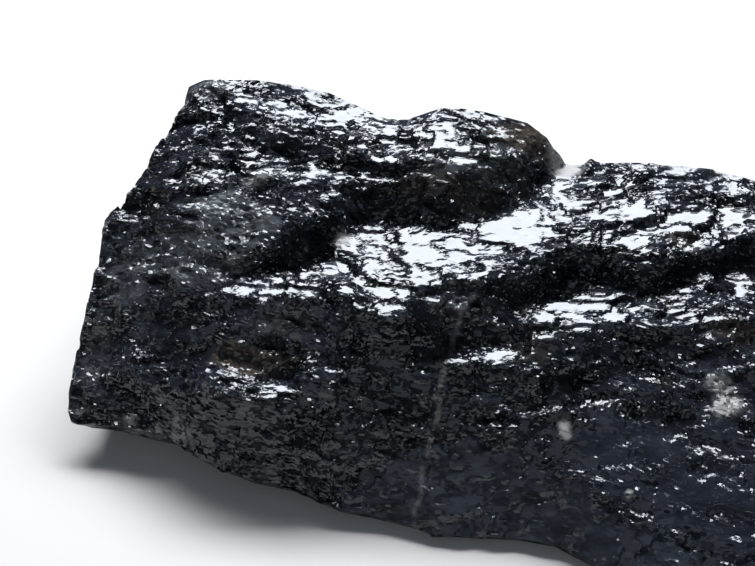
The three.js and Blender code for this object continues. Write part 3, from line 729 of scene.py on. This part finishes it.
@dataclass
class QuartzPiece:
    """The stone itself: its lattice, its mesh and its masks."""

    form: StoneForm = field(default_factory=StoneForm)
    tinting: Tinting = field(default_factory=Tinting)
    cells_x: int = 324
    cells_y: int = 186
    cells_z: int = 27
    under_step: int = 3
    # edges sharper than this are creases
    crease_degrees: float = 16.0
    # how far the tints reach down the sides, in mm, and how much that varies
    tint_reach: float = 5.5
    tint_reach_swing: float = 4.0

    def lattice(self) -> tuple[Array, list[list[int]], dict[str, Array]]:
        """Works out the closed surface.

        The nodes on the surface of a box lattice are numbered, and each is placed by its column
        (u, v) and its height share w: the plan shrinks a little toward the underside, the height
        runs from underside to top, and the sides get flakes, swells and hollows.

        Returns:
            The vertices in mm, the faces' corner numbers, counter-clockwise from outside, and
            the masks: "rough" on broken faces, "calm" on level facets, "slate" on that facet,
            and one for each tint.
        """
        nx, ny, nz = self.cells_x, self.cells_y, self.cells_z
        i, j, k = np.indices((nx + 1, ny + 1, nz + 1))
        skin = (i % nx == 0) | (j % ny == 0) | (k % nz == 0)
        number = np.full(skin.shape, -1)
        number[skin] = np.arange(skin.sum())
        i, j, k = i[skin], j[skin], k[skin]
        form = self.form
        gu, gv = np.meshgrid(np.arange(nx + 1) / nx, np.arange(ny + 1) / ny, indexing="ij")
        plan_x, plan_y = form.plan_point(gu, gv)
        top = form.top_height(plan_x, plan_y)
        tall = ((top - form.under_height(plan_x, plan_y)) / form.full_height)[i, j]
        w = k / nz
        px, py, high = plan_x[i, j], plan_y[i, j], top[i, j]
        side = (k > 0) & (k < nz)
        out = np.where(side, form.side_bulge * np.sin(math.pi * w) * tall, 0)
        shrink = 1 - form.underside_inset * (1 - w) + out
        x, y = px * shrink, py * shrink
        low = form.under_height(x, y)
        dimple = form.underside_dimple * np.maximum(swell(x / 7, y / 7, 51) - 0.05, 0)
        low += np.where(k == 0, dimple, 0)
        z = low + (high - low) * w
        around = np.arctan2(py * 1.9, px) * 70
        push = form.side_push(x, y, z, around)
        fade = np.where(side, np.minimum(tall, 1) * np.minimum(1, 3 * np.sin(math.pi * w)), 0)
        length = np.hypot(px / form.long_to_deep, py) + 1e-9
        x = x + px / form.long_to_deep / length * push * fade
        y = y + py / length * push * fade
        faces = self.skin_faces(number)
        masks = self.masks(x, y, z, (i, j), k == nz, (plan_x, plan_y, top))
        points = np.stack((x, y, z), axis=-1)
        used = np.unique(np.concatenate([np.array(face) for face in faces]))
        renumber = np.full(len(points), -1)
        renumber[used] = np.arange(len(used))
        masks = {name: values[used] for name, values in masks.items()}
        return points[used], [renumber[face].tolist() for face in map(np.array, faces)], masks

    def masks(
        self, x: Array, y: Array, z: Array, column: tuple[Array, Array], on_top: Array,
        plan: tuple[Array, Array, Array],
    ) -> dict[str, Array]:
        """Works out where the break is rough, calm, slate-like and tinted.

        Args:
            x: Places of the nodes along the stone.
            y: Places of the nodes across it.
            z: Heights of the nodes.
            column: The two lattice numbers of each node's column.
            on_top: Where the nodes lie on the top.
            plan: Places and heights of the top on the lattice's columns.

        Returns:
            Shares by the mask's name.
        """
        plan_x, plan_y, top = plan
        slate = np.where(z > 2, self.form.slate_share(plan_x[column], plan_y[column]), 0)
        calm, steep = (share[column] for share in self.form.calm_and_steep(*plan))
        calm = np.where(on_top, calm, 0) * (1 - slate)
        steep = np.where(on_top, steep, 1)
        patchy = np.clip(0.75 + 1.1 * swell(x / 7 + z / 9, y / 4.5 - z / 6, 33), 0.15, 1.4)
        rough = (1 - calm) * (1 - 0.7 * slate) * (patchy + (1.9 - patchy) * steep)
        facet = np.maximum(np.clip((slate - 0.8) / 0.2, 0, 1), 0.3 * slate)
        reach = self.tint_reach + self.tint_reach_swing * swell(x / 3, z / 3, 95)
        tinted = np.where(on_top, 1.0, np.clip(1 - (top[column] - z) / reach, 0, 1))
        return {"rough": rough, "calm": calm, "slate": facet, **self.tinting.masks(x, y, tinted)}

    def skin_faces(self, number: Array) -> list[list[int]]:
        """Faces of the top, the four sides and the underside.

        Args:
            number: Node numbers of the box lattice.

        Returns:
            The faces' corner numbers, counter-clockwise from outside.
        """
        grids = [(number[:, :, -1], False), (number[:, 0, :], False), (number[:, -1, :], True),
                 (number[0, :, :], True), (number[-1, :, :], False)]
        faces = []
        for grid, turned in grids:
            a, b, c, d = grid[:-1, :-1], grid[1:, :-1], grid[1:, 1:], grid[:-1, 1:]
            order = (a, d, c, b) if turned else (a, b, c, d)
            faces.extend(np.stack(order, axis=-1).reshape(-1, 4).tolist())
        return faces + self.underside(number[:, :, 0])

    def underside(self, grid: Array) -> list[list[int]]:
        """Faces of the underside: cells of several lattice steps, with the rim's own nodes kept.

        Args:
            grid: Node numbers of the underside.

        Returns:
            The faces' corner numbers, counter-clockwise from below.
        """
        s, (nx, ny) = self.under_step, (n - 1 for n in grid.shape)
        faces = []
        for i in range(0, nx, s):
            for j in range(0, ny, s):
                left = grid[i, j : j + s] if i == 0 else grid[i, j : j + 1]
                back = grid[i : i + s, j + s] if j + s == ny else grid[i : i + 1, j + s]
                right = (
                    grid[i + s, j + 1 : j + s + 1][::-1] if i + s == nx else grid[i + s, [j + s]]
                )
                front = grid[i + 1 : i + s + 1, j][::-1] if j == 0 else grid[[i + s], j]
                faces.append(np.concatenate((left, back, right, front)).tolist())
        return faces

    def build(self, low: Vector, high: Vector) -> bpy.types.Object:
        """Makes the mesh object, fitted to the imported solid's box.

        Args:
            low: Lowest corner of the box, in metres.
            high: Highest corner of the box, in metres.

        Returns:
            The stone's object.
        """
        vertices, faces, masks = self.lattice()
        own_low, own_high = vertices.min(axis=0), vertices.max(axis=0)
        share = (vertices - own_low) / (own_high - own_low)
        placed = np.array(low) + share * (np.array(high) - np.array(low))
        mesh = bpy.data.meshes.new("morion_piece")
        mesh.from_pydata(placed.tolist(), [], faces)
        mesh.validate()
        mesh.polygons.foreach_set("use_smooth", np.ones(len(faces), bool))
        mesh.set_sharp_from_angle(angle=math.radians(self.crease_degrees))
        for name, values in masks.items():
            mask = mesh.attributes.new(name, "FLOAT", "POINT")
            mask.data.foreach_set("value", values.astype(np.float32))
        piece = bpy.data.objects.new("morion_piece", mesh)
        bpy.context.scene.collection.objects.link(piece)
        return piece


def add_node(
    tree: Tree, kind: str, settings: dict[str, Any], links: dict[Any, Any]
) -> bpy.types.Node:
    """Adds a node with its settings and links.

    Args:
        tree: The node tree.
        kind: The node's type name.
        settings: Node attributes by name, or socket values by a name that starts with "=".
        links: Output sockets by the name or number of the input that they feed.

    Returns:
        The new node.
    """
    node = tree.nodes.new(kind)
    for name, value in settings.items():
        if name.startswith("="):
            key = name[1:]
            node.inputs[int(key) if key.isdigit() else key].default_value = value
        else:
            setattr(node, name, value)
    for name, socket in links.items():
        tree.links.new(socket, node.inputs[name])
    return node


@dataclass(frozen=True)
class CrackSet:
    """One set of open cracks: cell size, width and depth in mm, its lie and how much shows."""

    size: float
    width: float
    depth: float
    degrees: float
    stretch: float
    shows: float


@dataclass(frozen=True)
class GlassyMorion:
    """Morion: smoky quartz so dark that light hardly enters, broken into glassy flakes."""

    body: tuple[str, str] = ("0e1116", "30343d")
    slate: tuple[str, str] = ("20252d", "383e48")
    veil: str = "84888a"
    # the brown of stains and smoky edges, with painted light glinting through thin edges
    stain_and_glint: str = "5e544a"
    chalk: str = "dddbd6"
    seam: str = "8d8d8a"
    roughness: float = 0.08
    slate_roughness: float = 0.25
    chalk_roughness: float = 0.75
    ior: float = 1.544
    # the direction that chips and clouds are drawn out in, seen from above
    grain_degrees: float = 30.0
    # chips: size in mm, slope, share of cells that are loose, and how far the others lean
    chips: tuple[tuple[float, float, float, float], ...] = (
        (3.2, 0.34, 0.4, 0.45), (1.1, 2.4, 0.12, 0.06), (0.5, 2.2, 0.18, 0.1),
    )
    # smooth waves on the level facets: wavelength and height in mm
    ripple_mm: tuple[tuple[float, float], ...] = ((4.0, 0.04), (1.1, 0.006))
    cracks_mm: tuple[CrackSet, ...] = (
        CrackSet(10.0, 0.24, 0.4, 70, 0.5, 0.42),
        CrackSet(5.5, 0.16, 0.2, 30, 0.35, 0.35),
        CrackSet(2.6, 0.11, 0.06, 50, 0.6, 0.3),
    )

    def lie(self, tree: Tree, place: Socket, scale: Any, degrees: float) -> Socket:
        """Turns the coordinates to a direction seen from above and scales them there."""
        settings = {"=Rotation": (0, 0, math.radians(-degrees)), "=Scale": scale}
        return add_node(tree, "ShaderNodeMapping", settings, {"Vector": place}).outputs[0]

    def clouds(
        self, tree: Tree, place: Socket, size: float, detail: float, output: str = "Fac"
    ) -> Socket:
        """Adds smooth noise of a size in metres, or of 1 per coordinate at size 1."""
        settings = {"=Scale": 1 / size, "=Detail": detail}
        return add_node(tree, "ShaderNodeTexNoise", settings, {"Vector": place}).outputs[output]

    def vectors(self, tree: Tree, operation: str, a: Socket, b: Any) -> bpy.types.Node:
        """Adds vector maths on a socket and a second socket or constant."""
        settings: dict[str, Any] = {"operation": operation}
        links: dict[Any, Any] = {0: a}
        if isinstance(b, tuple):
            settings["=1"] = b
        else:
            links[1] = b
        return add_node(tree, "ShaderNodeVectorMath", settings, links)

    def spread(
        self, tree: Tree, value: Socket, low: float, high: float, to_low: float = 0.0,
        to_high: float = 1.0,
    ) -> Socket:
        """Spreads low..high over another range, and holds the ends."""
        settings = {"=From Min": low, "=From Max": high, "=To Min": to_low, "=To Max": to_high}
        return add_node(tree, "ShaderNodeMapRange", settings, {"Value": value}).outputs[0]

    def scaled(self, tree: Tree, value: Socket, scale: float) -> Socket:
        """Multiplies a number by a constant."""
        settings = {"operation": "MULTIPLY", "=1": scale}
        return add_node(tree, "ShaderNodeMath", settings, {0: value}).outputs[0]

    def product(self, tree: Tree, a: Socket, b: Socket) -> Socket:
        """Multiplies two numbers."""
        return add_node(tree, "ShaderNodeMath", {"operation": "MULTIPLY"}, {0: a, 1: b}).outputs[0]

    def add_share(self, tree: Tree, value: Socket, share: Socket, total: Socket | None) -> Socket:
        """Adds a share of a number to a total, which starts at 0."""
        links: dict[Any, Any] = {0: value, 1: share}
        if total:
            links[2] = total
        settings = {"operation": "MULTIPLY_ADD", "=2": 0.0}
        return add_node(tree, "ShaderNodeMath", settings, links).outputs[0]

    def blend(self, tree: Tree, share: Socket, low: Any, high: Any) -> Socket:
        """Mixes two colours, each a hex colour or a socket, by a share."""
        settings: dict[str, Any] = {"data_type": "RGBA"}
        links: dict[Any, Any] = {0: share}
        for number, colour in ((6, low), (7, high)):
            if isinstance(colour, str):
                settings[f"={number}"] = linear(colour)
            else:
                links[number] = colour
        return add_node(tree, "ShaderNodeMix", settings, links).outputs[2]

    def crack(
        self, tree: Tree, place: Socket, relief: Socket, calm: Socket, cracks: CrackSet
    ) -> Socket:
        """Adds open cracks: grooves along the edges of warped, stretched cells, fading in and out.

        Args:
            tree: The node tree.
            place: The object coordinates.
            relief: The relief in metres that the grooves are added to.
            calm: The share of the grooves that shows.
            cracks: The set's sizes.

        Returns:
            The relief with the grooves.
        """
        size = cracks.size * MM
        bend = self.clouds(tree, place, 0.5 * size, 4.0, "Color")
        centred = self.vectors(tree, "SUBTRACT", bend, (0.5, 0.5, 0.5)).outputs[0]
        shift = add_node(
            tree, "ShaderNodeVectorMath", {"operation": "SCALE", "=Scale": size * 1.1},
            {0: centred},
        )
        moved = self.vectors(tree, "ADD", place, shift.outputs[0]).outputs[0]
        turned = self.lie(tree, moved, (1, 1, 1), cracks.degrees)
        cells = self.lie(tree, turned, (cracks.stretch / size, 1 / size, 1 / size), 0)
        edge = add_node(
            tree, "ShaderNodeTexVoronoi", {"feature": "DISTANCE_TO_EDGE", "=Scale": 1.0},
            {"Vector": cells},
        )
        groove = add_node(
            tree, "ShaderNodeMapRange",
            {"interpolation_type": "SMOOTHSTEP", "=From Max": cracks.width / cracks.size},
            {"Value": edge.outputs["Distance"]},
        )
        fading = self.clouds(tree, place, 1.6 * size, 2.0)
        shown = self.spread(tree, fading, 1 - cracks.shows, 1.08 - cracks.shows)
        deep = self.scaled(tree, groove.outputs["Result"], cracks.depth * MM)
        return self.add_share(tree, deep, self.product(tree, shown, calm), relief)

    def leaning_chips(self, tree: Tree, place: Socket, shown: Socket) -> Socket:
        """Adds chips: every cell is a facet that leans its own way, the loose ones the most.

        Args:
            tree: The node tree.
            place: The object coordinates.
            shown: The share of the chips that shows.

        Returns:
            The relief of the chips, in metres.
        """
        relief = None
        for size, slope, loose, rest in self.chips:
            per_metre = 1 / (size * MM)
            cells = self.lie(
                tree, place, (0.4 * per_metre, per_metre, per_metre), self.grain_degrees
            )
            cell = add_node(tree, "ShaderNodeTexVoronoi", {"=Scale": 1.0}, {"Vector": cells})
            arm = self.vectors(tree, "SUBTRACT", cells, cell.outputs["Position"]).outputs[0]
            lean = self.vectors(tree, "SUBTRACT", cell.outputs["Color"], (0.5, 0.5, 0.5)).outputs[0]
            facet = self.vectors(tree, "DOT_PRODUCT", arm, lean).outputs["Value"]
            own = add_node(
                tree, "ShaderNodeTexWhiteNoise", {}, {"Vector": cell.outputs["Position"]}
            )
            gate = self.spread(tree, own.outputs["Value"], 1 - loose, 1.001 - loose, rest)
            height = self.scaled(tree, self.product(tree, facet, gate), size * slope * MM)
            relief = self.add_share(tree, height, shown, relief)
        return relief

    def ripples(self, tree: Tree, place: Socket, relief: Socket, calm: Socket) -> Socket:
        """Adds the smooth waves of the level facets, drawn out along the grain."""
        for wave, height in self.ripple_mm:
            drawn = self.lie(tree, place, (0.55, 1, 1), self.grain_degrees)
            waves = self.clouds(tree, drawn, wave * MM, 1.0)
            relief = self.add_share(tree, self.scaled(tree, waves, height * MM), calm, relief)
        return relief

    def mottle(
        self, tree: Tree, place: Socket, size_mm: float, low: float, high: float,
        detail: float = 4.0,
    ) -> Socket:
        """Adds clouds along the grain, with the noise values low..high spread over 0..1."""
        drawn = self.lie(tree, place, (0.45, 1, 1), self.grain_degrees)
        return self.spread(tree, self.clouds(tree, drawn, size_mm * MM, detail), low, high)

    def colours(self, tree: Tree, place: Socket, masks: dict[str, Socket]) -> tuple[Socket, Socket]:
        """Works out the colour, and how crushed and chalky the quartz is."""
        clouds = self.mottle(tree, place, 5.0, 0.36, 0.66)
        wisps = self.mottle(tree, place, 3.2, 0.34, 0.62, 6.0)
        crumbs = self.mottle(tree, place, 0.9, 0.28, 0.5, 3.0)
        colour = self.blend(tree, clouds, *self.body)
        colour = self.blend(tree, masks["slate"], colour, self.blend(tree, wisps, *self.slate))
        colour = self.blend(tree, self.product(tree, masks["veil"], wisps), colour, self.veil)
        # brown: stains, and painted light glinting through thin edges
        colour = self.blend(tree, self.product(tree, masks["stain_and_glint"], crumbs), colour, self.stain_and_glint)
        colour = self.blend(tree, self.product(tree, masks["seam"], wisps), colour, self.seam)
        crushed = self.product(tree, masks["chalk"], crumbs)
        return self.blend(tree, crushed, colour, self.chalk), crushed

    def material(self) -> bpy.types.Material:
        """Makes the material: dark glassy quartz with its clouds, stains, painted brown glints of
        light and chalky places.
        """
        made = bpy.data.materials.new("morion_broken_quartz")
        made.use_nodes = True
        tree = made.node_tree
        tree.nodes.clear()
        place = add_node(tree, "ShaderNodeTexCoord", {}, {}).outputs["Object"]
        masks = {
            name: add_node(
                tree, "ShaderNodeAttribute", {"attribute_name": name}, {}
            ).outputs["Fac"]
            for name in ("rough", "calm", "slate", *(tint.value for tint in Tint))
        }
        relief = self.leaning_chips(tree, place, masks["rough"])
        relief = self.ripples(tree, place, relief, masks["calm"])
        for cracks in self.cracks_mm:
            relief = self.crack(tree, place, relief, masks["calm"], cracks)
        normal = add_node(
            tree, "ShaderNodeBump", {"=Strength": 1.0, "=Distance": 1.0}, {"Height": relief}
        ).outputs[0]
        colour, crushed = self.colours(tree, place, masks)
        slate_dull = self.spread(tree, masks["slate"], 0, 1, self.roughness, self.slate_roughness)
        dull = add_node(
            tree, "ShaderNodeMapRange", {"=To Max": self.chalk_roughness},
            {"Value": crushed, "To Min": slate_dull},
        )
        shader = add_node(
            tree, "ShaderNodeBsdfPrincipled", {"=IOR": self.ior},
            {"Base Color": colour, "Roughness": dull.outputs[0], "Normal": normal},
        )
        add_node(tree, "ShaderNodeOutputMaterial", {}, {"Surface": shader.outputs[0]})
        return made


@dataclass(frozen=True)
class SoftBox:
    """A soft light that faces the stone: its direction in degrees, sizes in m and brightness."""

    name: str
    azimuth: float
    elevation: float
    distance: float
    width: float
    height: float
    radiance: float
    colour: str


@dataclass(frozen=True)
class Studio:
    """The pale sheet, the soft lights, the dim room and the camera."""

    target: tuple[float, float, float] = (-27.5, 12.2, 21.5)
    azimuth: float = 16.0
    elevation: float = 45.0
    distance: float = 318.0
    lens: float = 65.0
    sheet: str = "f3eee8"
    sheet_roughness: float = 0.9
    sheet_half: float = 2.5
    # a narrow bright strip behind the stone with a faint halo, and a weak light in front
    soft_boxes: tuple[SoftBox, ...] = (
        SoftBox("soft_strip", 193, 50, 1.2, 1.35, 0.34, 16.5, "f2f8ff"),
        SoftBox("soft_halo", 193, 51, 1.22, 1.5, 0.6, 1.4, "f6faff"),
        SoftBox("front_fill", 0, 41, 1.0, 0.9, 0.55, 0.55, "dfe8f6"),
    )
    # the room's colours by the height of the direction, 0 at the horizon and 1 overhead
    room_colours: tuple[tuple[float, str], ...] = ((0.3, "0e0f11"), (0.75, "3c434d"))

    def direction(self, azimuth: float, elevation: float) -> Vector:
        """Unit vector toward a place round the stone; azimuth 0 is the viewer's -Y side."""
        a, e = math.radians(azimuth), math.radians(elevation)
        return Vector((math.sin(a) * math.cos(e), -math.cos(a) * math.cos(e), math.sin(e)))

    def camera(self) -> None:
        """Places the camera."""
        data = bpy.data.cameras.new("camera")
        data.lens, data.sensor_width = self.lens, 36.0
        data.clip_start, data.clip_end = 0.01, 20.0
        eye = bpy.data.objects.new("camera", data)
        back = self.direction(self.azimuth, self.elevation)
        eye.location = (Vector(self.target) + back * self.distance) * MM
        eye.rotation_euler = (-back).to_track_quat("-Z", "Y").to_euler()
        bpy.context.scene.collection.objects.link(eye)
        bpy.context.scene.camera = eye

    def light(self, box: SoftBox) -> None:
        """Hangs a soft box; its power is radiance times pi times area."""
        data = bpy.data.lights.new(box.name, "AREA")
        data.shape, data.size, data.size_y = "RECTANGLE", box.width, box.height
        data.energy = box.radiance * math.pi * box.width * box.height
        data.color = linear(box.colour)[:3]
        lamp = bpy.data.objects.new(box.name, data)
        back = self.direction(box.azimuth, box.elevation)
        lamp.location = Vector(self.target) * MM + back * box.distance
        lamp.rotation_euler = (-back).to_track_quat("-Z", "Y").to_euler()
        bpy.context.scene.collection.objects.link(lamp)

    def room(self) -> None:
        """The dim room: grey-blue overhead and dark near the horizon."""
        world = bpy.data.worlds.new("room")
        world.use_nodes = True
        bpy.context.scene.world = world
        tree = world.node_tree
        tree.nodes.clear()
        place = add_node(tree, "ShaderNodeTexCoord", {}, {})
        split = add_node(tree, "ShaderNodeSeparateXYZ", {}, {0: place.outputs["Generated"]})
        ramp = add_node(tree, "ShaderNodeValToRGB", {}, {0: split.outputs["Z"]})
        for stop, (position, colour) in zip(ramp.color_ramp.elements, self.room_colours):
            stop.position, stop.color = position, linear(colour)
        sky = add_node(tree, "ShaderNodeBackground", {"=Strength": 1.0}, {0: ramp.outputs[0]})
        add_node(tree, "ShaderNodeOutputWorld", {}, {0: sky.outputs[0]})

    def floor(self) -> None:
        """The pale sheet, flat and at the height of the stone's base."""
        mesh = bpy.data.meshes.new("sheet")
        half = self.sheet_half
        mesh.from_pydata(
            [(-half, -half, 0), (half, -half, 0), (half, half, 0), (-half, half, 0)], [],
            [(0, 1, 2, 3)],
        )
        made = bpy.data.materials.new("matt_white_paper")
        made.use_nodes = True
        shader = made.node_tree.nodes["Principled BSDF"]
        shader.inputs["Base Color"].default_value = linear(self.sheet)
        shader.inputs["Roughness"].default_value = self.sheet_roughness
        mesh.materials.append(made)
        sheet = bpy.data.objects.new("sheet", mesh)
        bpy.context.scene.collection.objects.link(sheet)
        sheet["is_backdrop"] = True

    def build(self) -> None:
        """Builds the sheet, the room, the camera and the lights."""
        self.floor()
        self.room()
        self.camera()
        for box in self.soft_boxes:
            self.light(box)
        bpy.context.scene.view_settings.view_transform = "Standard"


def main() -> None:
    """Builds the stone and its studio, and reports each piece."""
    logging.basicConfig(level=logging.INFO, format="%(message)s")
    low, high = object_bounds()
    stone = QuartzPiece()
    piece = stone.build(low, high)
    piece.data.materials.append(GlassyMorion().material())
    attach(piece, "root")
    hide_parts(NODE)
    LOG.info("%s: %d faces", piece.name, len(piece.data.polygons))
    Studio().build()
    LOG.info("studio: sheet, soft boxes, room and camera")


if __name__ == "__main__":
    main()
